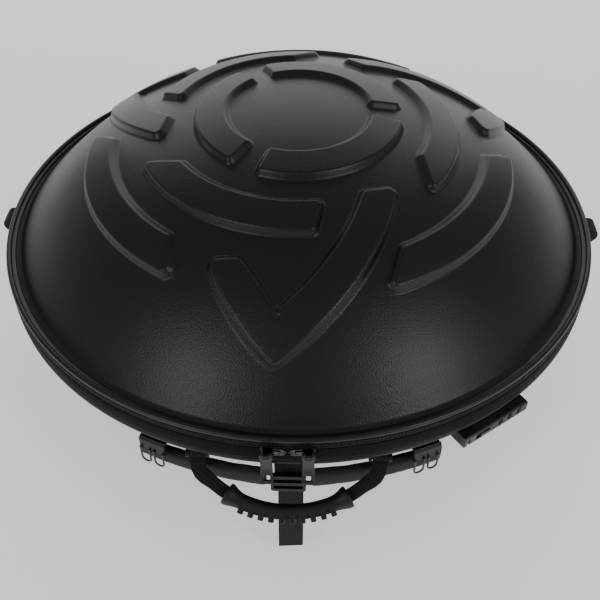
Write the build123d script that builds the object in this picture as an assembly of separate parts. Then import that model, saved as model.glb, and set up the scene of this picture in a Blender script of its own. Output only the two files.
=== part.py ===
from build123d import *
import os
from math import cos, degrees, radians, sin, tan

# Round hard-shell carrying case for a handpan: two vacuum-formed ABS domes closed by a zip band.
# Frame: origin on the floor under the centre of the case, +Z up, front (handle and zip pulls) -Y.
# Millimetres and degrees. "turn" is an angle about Z measured from the front, positive to the right.

# ---- driving sizes ----
band_r = 300.0            # outside radius of the zip band
shell_wall = 3.0          # ABS thickness
edge_inset = 13.5         # band radius minus the radius where the dome starts
upper_rise = 124.0        # upper dome, edge to apex
lower_rise = 124.0        # full lower dome before its floor is cut flat
floor_drop = 14.0         # how much of the lower dome's apex the flat floor removes
crown_reach = 0.635       # share of the edge radius over which the dome's crown stays flat
skirt_reach = 0.112       # the same for the straight skirt at its edge
skirt_angle = 44.0        # slope of the dome at its edge
foot_h = 8.0
foot_r = 12.0
foot_circle_r = 88.0
foot_count = 4
lip_drop = 8.0            # lower dome edge below the band's lower edge
lip_overhang = 0.5        # lip of the lower shell inside the band radius
seam_up = 16.5            # zip seam above the band's lower edge
flange_up = 24.0          # top of the upper shell's flange above the band's lower edge
flange_t = 2.4
flange_inset = 4.0        # flange edge inside the band radius
tape_t = 1.6
tape_gap = 0.2            # tape's outer face inside the band radius
seam_gap = 1.0
coil_t = 1.9
coil_h = 2.4
bead_r = 2.7              # piping along the top of the band
bead_sides = 7
foam_t = 8.0
liner_t = 1.2
layer_gap = 0.3           # between shell, foam and liner
relief_h = 6.0            # height of the pressed stiffening pattern
relief_turn = 1.4
fit_gap = 0.3

# ---- worked out from them ----
edge_r = band_r - edge_inset
floor_z = foot_h
lower_edge_z = floor_z + lower_rise - floor_drop
band_z = lower_edge_z + lip_drop
seam_z = band_z + seam_up
upper_edge_z = band_z + flange_up
flange_r = band_r - flange_inset
tape_r1 = band_r - tape_gap
bead_centre_r = band_r - bead_r
tape_r0 = tape_r1 - tape_t
coil_r1 = tape_r0 - 0.1
coil_r0 = coil_r1 - coil_t
lip_r = band_r - lip_overhang
far = 2.0 * band_r
BIG = 4.0 * band_r

os.makedirs("parts", exist_ok=True)


# ---- shape helpers ----
def dome(rise, lift):
    """Solid under the dome curve, its edge at z = 0; lift moves the surface out along its normal."""
    slope = radians(skirt_angle)
    grow = (edge_r + lift * sin(slope)) / edge_r
    end = Vector(edge_r + lift * sin(slope), 0, lift * cos(slope))
    along = Vector(cos(slope), 0, -sin(slope))
    top = rise + lift
    crown = Vector(crown_reach * edge_r * grow, 0, top)
    skirt = end - along * (skirt_reach * edge_r)
    curve = Bezier(Vector(0, 0, top), crown, skirt, end)
    tail = end + along * (3.0 * edge_inset)
    outline = Wire([
        curve,
        Edge.make_line(end, tail),
        Edge.make_line(tail, Vector(0, 0, tail.Z)),
        Edge.make_line(Vector(0, 0, tail.Z), Vector(0, 0, top)),
    ])
    return Solid.revolve(Face(outline), 360, Axis.Z)


def skirt_run(height):
    """How far the skirt moves in over a height."""
    return height / tan(radians(skirt_angle))


def upper_body(lift):
    return dome(upper_rise, lift).moved(Pos(0, 0, upper_edge_z))


def lower_body(lift):
    """The lower dome and its flat floor, grown by lift on both."""
    body = dome(lower_rise, lift).mirror(Plane.XY).moved(Pos(0, 0, lower_edge_z))
    return body & above(floor_z - lift)


def above(z):
    return Box(BIG, BIG, BIG, align=(Align.CENTER, Align.CENTER, Align.MIN)).moved(Pos(0, 0, z))


def below(z):
    return Box(BIG, BIG, BIG, align=(Align.CENTER, Align.CENTER, Align.MAX)).moved(Pos(0, 0, z))


def lathe(points, turn0=None, turn1=None):
    """Turn an (r, z) outline about Z, all round or from turn0 to turn1."""
    face = make_face(Polyline([(r, 0, z) for r, z in points], close=True))
    return turned(face, turn0, turn1)


def turned(face, turn0=None, turn1=None):
    if turn0 is None:
        return revolve(face, Axis.Z, 360)
    return revolve(face, Axis.Z, turn1 - turn0).moved(Rot(0, 0, turn0 - 90))


def ring(r0, r1, z0, z1, turn0=None, turn1=None):
    return lathe([(r0, z0), (r1, z0), (r1, z1), (r0, z1)], turn0, turn1)


def rounded_ring(r0, r1, z0, z1, radius, turn0, turn1):
    outline = Plane.XZ * Pos((r0 + r1) / 2, (z0 + z1) / 2) * RectangleRounded(r1 - r0, z1 - z0, radius)
    return turned(outline.face(), turn0, turn1)


def at(turn):
    """Turns what was made at the front round to its place."""
    return Rot(0, 0, turn)


def front_box(x0, x1, y0, y1, z0, z1):
    """A box from its limits; y is the distance out from the axis towards the front."""
    return Box(x1 - x0, y1 - y0, z1 - z0).moved(Pos((x0 + x1) / 2, -(y0 + y1) / 2, (z0 + z1) / 2))


def rod_x(x0, x1, out, z, radius):
    """A bar along X at a distance out from the axis."""
    return Cylinder(radius, x1 - x0, rotation=(0, 90, 0)).moved(Pos((x0 + x1) / 2, -out, z))


def lower_wall(turn, z):
    """A place on the lower shell's outer face near its edge, with Z pointing straight out of it."""
    r = edge_r - skirt_run(lower_edge_z - z)
    lean = 90 + skirt_angle
    return at(turn) * Pos(0, -r, z) * Rot(lean, 0, 0)


def rivet(place, outside, inside):
    """Shank, pan head seated on the outer plate and rolled head seated on the inner one."""
    shank = Cylinder(rivet_r, outside + inside + 1.6).moved(Pos(0, 0, (outside - inside) / 2))
    head = Cylinder(1.8 * rivet_r, 2.2).moved(place * Pos(0, 0, outside + 0.5))
    tail = Cylinder(1.6 * rivet_r, 1.8).moved(place * Pos(0, 0, -inside - 0.3))
    head = head - lower_body(outside + 0.03)
    tail = tail & lower_body(-inside - 0.03)
    return shank.moved(place) + head + tail


def rivet_hole(place):
    return Cylinder(rivet_r + rivet_gap, 30).moved(place)


def write(name, shape):
    shape.label = name
    export_step(shape, f"parts/{name}.step")


def group(shapes):
    return Compound(children=[s for item in shapes for s in item.solids()])


# ---- fasteners on the lower shell ----
rivet_r = 2.0
rivet_gap = 0.05
saddle_t = 3.0

anchor_turn = 16.0        # handle anchors, each side of the front
anchor_w = 42.0
anchor_z0 = lower_edge_z - 14.0
anchor_z1 = lower_edge_z - 0.6
strap_plate_turn = 23.0
strap_plate_w = 25.0
rear_anchor_x = 90.0
rear_anchor_y = 222.0


def saddle(turn, width, z0, z1, lift0, lift1):
    """A plate that follows the lower shell between two heights."""
    layer = lower_body(lift1) - lower_body(lift0)
    window = front_box(-width / 2, width / 2, edge_r / 3, far, z0, z1)
    return layer & window.moved(at(turn))


anchor_rivets = [
    lower_wall(side * anchor_turn + degrees(x / edge_r), lower_edge_z - 7.5)
    for side in (-1, 1) for x in (-17.0, 17.0)
]


# ---- lower half ----
def lower_shell():
    body = lower_body(0) & below(lower_edge_z)
    rim = lathe([
        (edge_r - skirt_run(4.0), lower_edge_z - 4.0), (edge_r, lower_edge_z),
        (lip_r - 1.5, band_z - 5.5), (lip_r, band_z - 4.0),
        (lip_r, band_z - 1.5), (lip_r - 1.0, band_z - 1.0), (flange_r + 0.2, band_z - 1.0),
        (flange_r + 0.2, band_z + 11.0), (flange_r - 2.2, band_z + 11.0),
        (flange_r - 2.2, band_z - 1.0), (edge_r - 4.2, lower_edge_z),
        (edge_r - 4.2 - skirt_run(4.0), lower_edge_z - 4.0),
    ])
    shell = body + rim
    cavity = lower_body(-shell_wall) & below(lower_edge_z + 0.1)
    shell = shell - cavity
    for place in anchor_rivets:
        shell = shell - rivet_hole(place)
    for place in foot_places():
        shell = shell - Cylinder(2.1, 40).moved(place)
    return shell


def foot_places():
    step = 360 / foot_count
    return [at(step * (i + 0.5)) * Pos(0, -foot_circle_r, floor_z) for i in range(foot_count)]


def feet():
    foot = Cone(foot_r, foot_r - 2.0, foot_h, rotation=(180, 0, 0)).moved(Pos(0, 0, -foot_h / 2))
    foot = foot - Cylinder(2.1, foot_h * 2)
    foot = foot - Cylinder(5.0, 3.4).moved(Pos(0, 0, -foot_h + 1.7))
    return group([foot.moved(place) for place in foot_places()])


def foot_screws():
    head = Cylinder(4.0, 2.4).moved(Pos(0, 0, -foot_h + 3.4 - 1.2))
    shank = Cylinder(2.0, foot_h - 3.4 + shell_wall).moved(Pos(0, 0, (-foot_h + 3.4 + shell_wall) / 2))
    nut = Cylinder(3.6, 2.2).moved(Pos(0, 0, shell_wall + 1.1))
    return group([(head + shank + nut).moved(place) for place in foot_places()])


def lining(lift1, lift0):
    """Lower lining layer, with pockets over the fixings that come through the shell."""
    layer = (lower_body(lift1) & below(lower_edge_z - 1.0)) - lower_body(lift0)
    return layer


def lower_foam():
    foam = lining(-shell_wall - layer_gap, -shell_wall - layer_gap - foam_t)
    pocket = lower_body(-shell_wall) - lower_body(-shell_wall - 4.0)
    for side in (-1, 1):
        window = front_box(-30, 30, edge_r / 3, far, anchor_z0 - 8, lower_edge_z)
        foam = foam - (pocket & window.moved(at(side * anchor_turn)))
    for place in foot_places():
        foam = foam - Cylinder(4.5, 12).moved(place)
    return foam


def lower_liner():
    lift = -shell_wall - 2 * layer_gap - foam_t
    return lining(lift, lift - liner_t)


def cradle_ring():
    """Foam ring on the lining that carries the instrument below its widest line."""
    lift = -shell_wall - 3 * layer_gap - foam_t - liner_t
    inside = lower_body(lift)
    block = ring(edge_r * 0.66, edge_r, lower_edge_z - 62, lower_edge_z - 34)
    return block & inside


def lower_tape():
    return ring(tape_r0, tape_r1, band_z, seam_z - seam_gap / 2)


def lower_coil():
    z1 = seam_z - seam_gap / 2
    return ring(coil_r0, coil_r1, z1 - coil_h, z1)


def lower_binding():
    return ring(flange_r + 0.4, tape_r0 - 0.2, band_z - 0.8, band_z + 10.0)


# ---- lid ----
def relief_outlines():
    """Plan of the pressed pattern: three copies of a ring segment, two arcs and a chevron."""
    unit = edge_r / 0.955

    def at_polar(r, turn):
        a = radians(turn)
        return (unit * r * cos(a), unit * r * sin(a))

    def band(r0, r1, a0, a1, b0, b1):
        """Arc from r0 to r1; a0, a1 are the inner edge's ends and b0, b1 the outer edge's."""
        inner = ThreePointArc(at_polar(r0, a0), at_polar(r0, (a0 + a1) / 2), at_polar(r0, a1))
        outer = ThreePointArc(at_polar(r1, b1), at_polar(r1, (b0 + b1) / 2), at_polar(r1, b0))
        sides = [Line(inner @ 1, outer @ 0), Line(outer @ 1, inner @ 0)]
        return make_face([inner, sides[0], outer, sides[1]])

    def chevron():
        """Short straight leg and long curved leg that meet in a point near the rim."""
        tip = at_polar(0.842, -94.4)
        crook = at_polar(0.704, -94.5)
        short_in = at_polar(0.588, -105.3)
        short_out = at_polar(0.617, -115.0)
        long_in = at_polar(0.405, -63.6)
        long_out = at_polar(0.441, -48.1)
        edges = [
            ThreePointArc(tip, at_polar(0.653, -74.2), long_out),
            Line(long_out, long_in),
            ThreePointArc(long_in, at_polar(0.550, -79.3), crook),
            Line(crook, short_in),
            Line(short_in, short_out),
            ThreePointArc(short_out, at_polar(0.740, -104.6), tip),
        ]
        return make_face(edges)

    plan = [
        (band(0.224, 0.333, -113, -7, -113, -7), 5.0),
        (band(0.407, 0.517, -147.5, -78.5, -161, -84), 6.0),
        (band(0.592, 0.700, -61, -7.2, -70, 0), 6.0),
        (chevron(), 7.0),
    ]
    rounded = [fillet(face.vertices(), radius) for face, radius in plan]
    return [shape.moved(Rot(0, 0, relief_turn + 120 * i)) for shape in rounded for i in range(3)]


def upper_shell():
    body = upper_body(0) & above(upper_edge_z - flange_t)
    body = body - (upper_body(-shell_wall) & above(upper_edge_z - flange_t - 1))
    flange = ring(edge_r - 3.0, flange_r, upper_edge_z - flange_t, upper_edge_z)
    layer = upper_body(relief_h) - upper_body(-shell_wall / 2)
    raised = [layer & extrude(face, upper_edge_z + far) for face in relief_outlines()]
    skirt = body & ring(0, edge_r + 0.5, upper_edge_z - flange_t, upper_edge_z + far)
    return skirt + flange + raised


def upper_layer(lift1, lift0):
    layer = (upper_body(lift1) & above(upper_edge_z)) - upper_body(lift0)
    return layer


def upper_foam():
    return upper_layer(-shell_wall - layer_gap, -shell_wall - layer_gap - foam_t)


def upper_liner():
    lift = -shell_wall - 2 * layer_gap - foam_t
    return upper_layer(lift, lift - liner_t)


def upper_tape():
    return ring(tape_r0, tape_r1, seam_z + seam_gap / 2, band_z + flange_up + 0.3)


def upper_coil():
    z0 = seam_z + seam_gap / 2
    return ring(coil_r0, coil_r1, z0, z0 + coil_h)


def upper_binding():
    """Piping bead on top of the tape, folded over the shell's flange."""
    top = band_z + flange_up
    outline = [
        (flange_r - 5.0, top + 0.3), (flange_r + 0.2, top + 0.3), (flange_r + 0.2, top - 2.0),
        (tape_r0 - 0.2, top - 2.0), (tape_r0 - 0.2, top + 0.5), (band_r - 0.6, top + 0.5),
    ]
    for i in range(bead_sides + 1):
        angle = radians(-15 + 210 * i / bead_sides)
        outline.append((bead_centre_r + bead_r * cos(angle), top + 1.7 + bead_r * sin(angle)))
    outline.append((flange_r - 5.0, top + 1.0))
    return lathe(outline)


# ---- soft hinge at the back ----
hinge_half = 22.0         # half of the sewn hinge, as an angle at the axis
hinge_flap_h = 13.0
hinge_flap_t = 1.4


def hinge_flap(z0, z1):
    return ring(band_r + 0.2, band_r + 0.2 + hinge_flap_t, z0, z1, 180 - hinge_half, 180 + hinge_half)


# ---- zip sliders and pulls ----
slider_l = 22.0
slider_h = 13.0
slider_t = 2.2
slider_back_h = 9.4
slider_clear = 0.8
slider_web_t = 0.6
slider_meet = 0.6         # from the front line to each slider's nose
pin_r = 1.5
pin_len = 10.4
pin_out = 9.6             # pull pin outside the band radius
pin_up = 4.0              # pull pin above the seam
lug_w = 4.0
pull_w = 11.0
pull_t = 2.4
pull_l = 41.0
pull_eye_r = 3.0
pull_slot = (5.6, 9.0)
pin_fit = 0.08
pull_x = slider_meet + 16.4


def slider(side):
    def span(a, b):
        return (a, b) if side > 0 else (-b, -a)

    def turn_span(a, b):
        lo, hi = span(a, b)
        return degrees(lo / band_r), degrees(hi / band_r)

    f0 = band_r + slider_clear
    t0, t1 = turn_span(slider_meet, slider_meet + slider_l)
    front = rounded_ring(f0, f0 + slider_t, seam_z - slider_h / 2, seam_z + slider_h / 2, 0.8, t0, t1)
    b1 = coil_r0 - slider_clear
    half = slider_back_h / 2
    b_turns = turn_span(slider_meet + 1, slider_meet + slider_l - 2)
    back = ring(b1 - 2.0, b1, seam_z - half, seam_z + half, *b_turns)
    half = slider_web_t / 2
    w_turns = turn_span(slider_meet + 1, slider_meet + 7)
    web = ring(b1 - 0.5, f0 + 0.5, seam_z - half, seam_z + half, *w_turns)
    lo, hi = span(pull_x - lug_w / 2, pull_x + lug_w / 2)
    out = band_r + pin_out
    lug = front_box(lo, hi, f0 + 0.8, out, seam_z + pin_up - 2.6, seam_z + pin_up + 2.6)
    lug = lug + rod_x(lo, hi, out, seam_z + pin_up, 2.6)
    x = side * pull_x
    pin = rod_x(x - pin_len / 2, x + pin_len / 2, out, seam_z + pin_up, pin_r)
    return front + back + web + lug + pin


def pull_tab(side):
    x = side * pull_x
    out = band_r + pin_out
    z = seam_z + pin_up
    eye = rod_x(x - pull_w / 2, x + pull_w / 2, out, z, pull_eye_r)
    foot_z = z - pull_l + pull_eye_r
    plate = front_box(x - pull_w / 2, x + pull_w / 2, out - pull_t / 2, out + pull_t / 2, foot_z, z)
    plate = fillet(plate.edges().filter_by(Axis.Y).group_by(Axis.Z)[0], 3.0)
    tab = eye + plate
    window = Plane.XZ * Pos(x, foot_z + 4.0 + pull_slot[1] / 2) * RectangleRounded(*pull_slot, 1.5)
    tab = tab - extrude(window, pull_t, both=True).moved(Pos(0, -out, 0))
    tab = tab - front_box(x - lug_w / 2 - fit_gap, x + lug_w / 2 + fit_gap, out - 6, out + 6, z - 4.2, z + 4.2)
    return tab - rod_x(x - pull_w, x + pull_w, out, z, pin_r + pin_fit)


# ---- carrying handle ----
handle_y = band_r - 15.0   # pivot line, out from the axis
handle_z = band_z - 12.0
leg_x = 77.0
leg_w = 13.0
leg_t = 4.0
leg_knee = 13.0
eye_r = 4.2
handle_pin_r = 2.0
grip_chord = 102.0
grip_sag = 14.0
grip_reach = 32.5          # from the pivot line to the line between the grip's ends
grip_r = 6.5
collar_r = 9.5
collar_l = 7.0
handle_droop = 30.0        # handle below level at rest
rib_count = 10
rib_pitch = 8.7
rib_w = 4.4
rib_h = 3.4


def handle_plane():
    """Sketch plane of the handle at rest: local X along X, local Y out and down along the handle."""
    droop = radians(handle_droop)
    out = Vector(0, -cos(droop), -sin(droop))
    return Plane(origin=(0, -handle_y, handle_z), x_dir=(1, 0, 0), z_dir=Vector(1, 0, 0).cross(out))


def grip_line():
    half = grip_chord / 2
    return ThreePointArc((-half, grip_reach), (0, grip_reach + grip_sag), (half, grip_reach))


def handle_grip():
    path = handle_plane() * grip_line()
    section = Plane(origin=path @ 0, z_dir=path % 0) * Circle(grip_r)
    grip = sweep(section, path=path)
    radius = (grip_chord ** 2 / 4 + grip_sag ** 2) / (2 * grip_sag)
    for end, place in ((0, path @ 0), (1, path @ 1)):
        inward = (path % end) * (1 if end == 0 else -1)
        collar = Solid.make_cone(collar_r, grip_r, collar_l * 2, Plane(origin=place, z_dir=inward))
        grip = grip + collar
    plane = handle_plane()
    centre_y = grip_reach + grip_sag - radius
    for i in range(rib_count):
        angle = (i - (rib_count - 1) / 2) * rib_pitch / (radius + grip_r)
        rib = Box(rib_w, rib_h + grip_r, 2 * grip_r * 0.8)
        place = Pos(0, centre_y, 0) * Rot(0, 0, -degrees(angle)) * Pos(0, radius + (rib_h + grip_r) / 2, 0)
        grip = grip + (plane.location * place * rib)
    for side in (-1, 1):
        grip = grip - leg_solid(side, leg_w + 2 * fit_gap, leg_t + 2 * fit_gap)
    return grip


def leg_solid(side, width, thickness):
    """Webbing strap that runs straight out of its eye, then turns in to the grip's collar."""
    knee = (side * (leg_x - 1.5), leg_knee)
    line = Polyline((side * leg_x, 1.0), knee, (side * (grip_chord / 2 - 3.0), grip_reach + 1.5))
    face = trace(line, width)
    return extrude(handle_plane() * face, thickness / 2, both=True)


def handle_leg(side):
    leg = leg_solid(side, leg_w, leg_t)
    x = side * leg_x
    leg = leg + rod_x(x - leg_w / 2, x + leg_w / 2, handle_y, handle_z, eye_r)
    return leg - rod_x(x - leg_w, x + leg_w, handle_y, handle_z, handle_pin_r + pin_fit)


def handle_anchor(side):
    """Saddle riveted to the shell with two ears and the steel pin that the webbing turns on."""
    turn = side * anchor_turn
    base = saddle(turn, anchor_w, anchor_z0, anchor_z1, 0.02, saddle_t)
    x = side * leg_x
    ear_x = leg_w / 2 + 2.0
    wall = lower_body(saddle_t / 2)
    for ear in (-ear_x, ear_x):
        blade = front_box(x + ear - 1.4, x + ear + 1.4, handle_y - 24, handle_y, handle_z - 4, handle_z + 3.2)
        blade = blade + rod_x(x + ear - 1.4, x + ear + 1.4, handle_y, handle_z, 3.6)
        base = base + (blade - wall)
    base = base + rod_x(x - ear_x, x + ear_x, handle_y, handle_z, handle_pin_r)
    for place in anchor_rivets:
        base = base - rivet_hole(place)
    return base


def handle_backing():
    plates = []
    for side in (-1, 1):
        inside = -shell_wall - 0.02
        top = lower_edge_z - 2.2
        plate = saddle(side * anchor_turn, anchor_w + 4, anchor_z0, top, inside - 1.98, inside)
        for place in anchor_rivets:
            plate = plate - rivet_hole(place)
        plates.append(plate)
    return group(plates)


def handle_rivets():
    return group([rivet(place, saddle_t, shell_wall + 2.0) for place in anchor_rivets])


# ---- shoulder straps, stowed under the front rim ----
pad_t = 9.0
pad_r1 = band_r - 5.5
pad_z1 = band_z - 22.0
pad_z0 = band_z - 50.0
pad_turn0 = 3.2
pad_turn1 = 27.5
tail_w = 40.0
tail_l = 118.0
web_w = 25.0
web_t = 1.6


def strap_tail(side):
    """The part of the pad that turns down and back under the case, against the shell."""
    layer = lower_body(2.2 + pad_t) - lower_body(2.2)
    low = lower_edge_z - tail_l * sin(radians(skirt_angle)) + 6
    window = front_box(-tail_w / 2, tail_w / 2, edge_r / 3, far, low, pad_z1 + 2)
    return layer & window.moved(at(side * pad_turn1))


def shoulder_strap(side):
    a, b = sorted((side * pad_turn0, side * pad_turn1))
    run = rounded_ring(pad_r1 - pad_t, pad_r1, pad_z0, pad_z1, 3.5, a, b)
    return run + strap_tail(side)


def strap_webbing(side):
    layer = lower_body(0.3 + web_t) - lower_body(0.3)
    x = side * rear_anchor_x
    strip = Box(web_w, rear_anchor_y + 158, far).moved(Pos(x, (rear_anchor_y - 158) / 2, 0))
    return (layer & strip).solids().sort_by(SortBy.VOLUME)[-1]


def strap_buckle(side):
    """Ladder lock where the webbing meets the padded strap."""
    layer = lower_body(0.3 + web_t + 4.2) - lower_body(0.3 + web_t + 0.2)
    x = side * rear_anchor_x
    frame = Box(web_w + 8, 26, far)
    for y in (-6, 6):
        frame = frame - Box(web_w + 1, 5, far).moved(Pos(0, y, 0))
    return (layer & frame.moved(Pos(x, -138, 0))).solids().sort_by(SortBy.VOLUME)[-1]


def rear_anchor(side):
    """Plate over the end of the webbing at the back of the lower shell."""
    layer = lower_body(0.3 + web_t + 3.2) - lower_body(0.3 + web_t + 0.2)
    plate = Box(web_w + 9, 20, far).moved(Pos(side * rear_anchor_x, rear_anchor_y - 14, 0))
    return layer & plate & below(lower_edge_z)


def strap_plate(side):
    """Moulded plate under the lip that carries the two strap hooks."""
    turn = side * strap_plate_turn
    half = degrees(strap_plate_w / 2 / band_r)
    outline = [
        (edge_r + 0.6, lower_edge_z - 0.6), (band_r - 1.0, lower_edge_z - 0.6),
        (band_r + 1.2, lower_edge_z - 3.0), (band_r + 1.2, band_z - 23.0),
        (band_r - 1.8, band_z - 23.0), (band_r - 1.8, lower_edge_z - 3.6),
        (edge_r - 2.2, lower_edge_z - 3.6),
    ]
    return lathe(outline, turn - half, turn + half)


hook_wire_r = 0.9
hook_half_w = 4.4
hook_drop = 19.0


def strap_hooks(side):
    """Two bent wire loops that hang from the plate."""
    loops = []
    out = band_r + 1.2 + hook_wire_r + 0.1
    top = band_z - 20.0
    for x in (-7.0, 6.0):
        path = Polyline((x - hook_half_w, top), (x - hook_half_w, top - hook_drop + hook_half_w))
        path += ThreePointArc(path @ 1, (x, top - hook_drop), (x + hook_half_w, top - hook_drop + hook_half_w))
        path += Line(path @ 1, (x + hook_half_w, top))
        wire = Plane.XZ * path
        section = Plane(origin=wire @ 0, z_dir=wire % 0) * Circle(hook_wire_r)
        loop = sweep(section, path=wire).moved(Pos(0, -out, 0))
        loops.append(loop.moved(at(side * strap_plate_turn)))
    return group(loops)


# ---- centre webbing, its ladder lock and loose tail ----
centre_w = 24.0
centre_out = band_r - 2.8


def centre_webbing():
    half = degrees(centre_w / 2 / band_r)
    top = lower_edge_z - 0.6
    return lathe([
        (edge_r + 0.6, top), (centre_out, top), (centre_out, band_z - 30.0),
        (centre_out - web_t, band_z - 30.0), (centre_out - web_t, top - web_t),
        (edge_r - 0.8, top - web_t),
    ], -half, half)


def centre_buckle():
    w = centre_w / 2 + 3.0
    y0 = centre_out + 0.2
    frame = front_box(-w, w, y0, y0 + 4.0, band_z - 42.0, band_z - 20.0)
    frame = fillet(frame.edges().filter_by(Axis.Y), 2.5)
    inner = centre_w / 2 + 0.5
    for z in (band_z - 27.0, band_z - 36.0):
        frame = frame - front_box(-inner, inner, y0 - 1, y0 + 6, z - 2.4, z + 2.4)
    return frame


def centre_tail():
    """Loose end, 86 mm below the ladder lock, leaning forwards a little."""
    drop = 84.0
    lean = 11.0
    half = centre_w / 2 - 1
    plan = Polyline([(-half, 0), (half, 0), (half, -drop + 3), (-half, -drop)], close=True)
    strip = extrude(Plane.XZ * make_face(plan), web_t)
    top = Pos(2.0, -(centre_out - web_t - 0.6), band_z - 32.0)
    return strip.moved(top * Rot(-lean, 0, 0) * Pos(0, web_t, 0))


# ---- side D-rings ----
tab_w = 27.0
tab_t = 3.2
ring_bar_out = 3.4
ring_bar_z = -4.0
ring_wire_r = 1.75
ring_half_w = 13.0
ring_drop = 20.0


def ring_tab(side):
    """Folded webbing sewn over the lower tape, its fold round the ring's bar."""
    half = degrees(tab_w / 2 / band_r)
    r0 = band_r + 0.2
    tab = ring(r0, r0 + tab_t, band_z + 0.5, band_z + 9.0, -half, half)
    out = band_r + ring_bar_out
    eye = rod_x(-ring_half_w + 2.6, ring_half_w - 2.6, out, band_z + ring_bar_z, ring_wire_r + 1.2)
    neck = front_box(-ring_half_w + 2.6, ring_half_w - 2.6, out - 1.2, out + 1.2, band_z + ring_bar_z, band_z + 2)
    tab = tab + neck + eye
    tab = tab - rod_x(-ring_half_w, ring_half_w, out, band_z + ring_bar_z, ring_wire_r + pin_fit)
    return tab.moved(at(side * 90))


def d_ring(side):
    """Bent wire: a straight bar through the tab's fold and a round bow below it."""
    z = band_z + ring_bar_z
    out = band_r + ring_bar_out
    half = ring_half_w + ring_wire_r
    knee = z - 4.0
    bow_line = Plane.XZ * ThreePointArc((half, knee), (0, z - ring_drop), (-half, knee))
    section = Plane(origin=bow_line @ 0, z_dir=bow_line % 0) * Circle(ring_wire_r)
    body = sweep(section, path=bow_line).moved(Pos(0, -out, 0)) + rod_x(-half, half, out, z, ring_wire_r)
    for x in (-half, half):
        body = body + Cylinder(ring_wire_r, z - knee).moved(Pos(x, -out, (z + knee) / 2))
        body = body + Sphere(ring_wire_r).moved(Pos(x, -out, z)) + Sphere(ring_wire_r).moved(Pos(x, -out, knee))
    return body.moved(at(side * 90))


# ---- combination lock ----
lock_turn = 36.0
lock_l = 74.0
lock_h = 12.0
lock_out = 6.0
lock_in = 18.0
lock_z1 = -7.4
cap_l = 13.0
dial_r = 5.6
dial_t = 3.2
dial_pitch = 11.0
dial_count = 3
dial_x0 = 5.0
axle_r = 1.2
button_x = -14.0
button_travel = 4.0


def lock_frame(x0, x1, y0, y1, z0, z1):
    return front_box(x0, x1, band_r + y0, band_r + y1, band_z + z0, band_z + z1)


def dial_place(i):
    return dial_x0 + dial_pitch * i, band_r + lock_out - dial_r + 1.2, band_z + lock_z1 - lock_h / 2


def lock_body():
    body = lock_frame(-lock_l / 2 + cap_l + 0.4, lock_l / 2, -lock_in, lock_out, lock_z1 - lock_h, lock_z1)
    body = fillet(body.edges().filter_by(Axis.X).group_by(Axis.Y)[0], 2.0)
    body = body - lower_body(saddle_t + 0.3)
    for i in range(dial_count):
        x, out, z = dial_place(i)
        body = body - rod_x(x - dial_t / 2 - 0.3, x + dial_t / 2 + 0.3, out, z, dial_r + 0.5)
    x_end = dial_place(dial_count - 1)[0] + 6
    body = body - rod_x(dial_x0 - 6, x_end, dial_place(0)[1], dial_place(0)[2], axle_r + 0.1)
    slot_x0 = button_x - 6.3 - button_travel
    slot_z0 = lock_z1 - lock_h + 3.6
    slot = lock_frame(slot_x0, button_x + 6.3, lock_out - 2.6, lock_out + 1, slot_z0, lock_z1 - 3.6)
    return body - slot


def lock_cap():
    cap = lock_frame(-lock_l / 2, -lock_l / 2 + cap_l, -lock_in, lock_out, lock_z1 - lock_h, lock_z1)
    cap = fillet(cap.edges().filter_by(Axis.X).group_by(Axis.Y)[0], 2.0)
    end = -lock_l / 2
    notch = lock_frame(end + 3, end + 6.2, lock_out - 5, lock_out + 1, lock_z1 - lock_h - 1, lock_z1 - 3)
    return cap - lower_body(saddle_t + 0.3) - notch


def lock_axle():
    x_end = dial_place(dial_count - 1)[0] + 5.6
    return rod_x(dial_x0 - 5.6, x_end, dial_place(0)[1], dial_place(0)[2], axle_r)


def lock_dial(i):
    x, out, z = dial_place(i)
    wheel = rod_x(x - dial_t / 2, x + dial_t / 2, out, z, dial_r)
    wheel = chamfer(wheel.edges(), 0.35)
    return wheel - rod_x(x - dial_t, x + dial_t, out, z, axle_r + 0.06)


def lock_button():
    z0 = lock_z1 - lock_h + 4.0
    return lock_frame(button_x - 5.7, button_x + 5.7, lock_out - 2.4, lock_out + 1.0, z0, lock_z1 - 4.0)


def lock_plate():
    return saddle(lock_turn, lock_l, band_z + lock_z1 - lock_h, lower_edge_z - 0.8, 0.02, saddle_t)


# ---- write every piece ----
write("lower_shell", lower_shell())
write("lower_zip_tape", lower_tape())
write("lower_zip_coil", lower_coil())
write("lower_binding", lower_binding())
write("lower_foam", lower_foam())
write("lower_liner", lower_liner())
write("cradle_ring", cradle_ring())
write("feet", feet())
write("foot_screws", foot_screws())
write("upper_shell", upper_shell())
write("upper_zip_tape", upper_tape())
write("upper_zip_coil", upper_coil())
write("upper_binding", upper_binding())
write("upper_foam", upper_foam())
write("upper_liner", upper_liner())
write("rear_hinge_lower", hinge_flap(seam_z - hinge_flap_h, seam_z - 0.3))
write("rear_hinge_upper", hinge_flap(seam_z + 0.3, seam_z + hinge_flap_h - 4))
for side, name in ((-1, "left"), (1, "right")):
    write(f"{name}_zip_slider", slider(side))
    write(f"{name}_pull_tab", pull_tab(side))
    write(f"{name}_handle_anchor", handle_anchor(side))
    write(f"{name}_handle_leg", handle_leg(side))
    write(f"{name}_shoulder_strap", shoulder_strap(side))
    write(f"{name}_strap_webbing", strap_webbing(side))
    write(f"{name}_strap_buckle", strap_buckle(side))
    write(f"{name}_rear_anchor", rear_anchor(side))
    write(f"{name}_strap_plate", strap_plate(side))
    write(f"{name}_strap_hooks", strap_hooks(side))
    write(f"{name}_ring_tab", ring_tab(side))
    write(f"{name}_d_ring", d_ring(side))
write("handle_grip", handle_grip())
write("handle_backing_plates", handle_backing())
write("handle_rivets", handle_rivets())
write("centre_webbing", centre_webbing())
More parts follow.
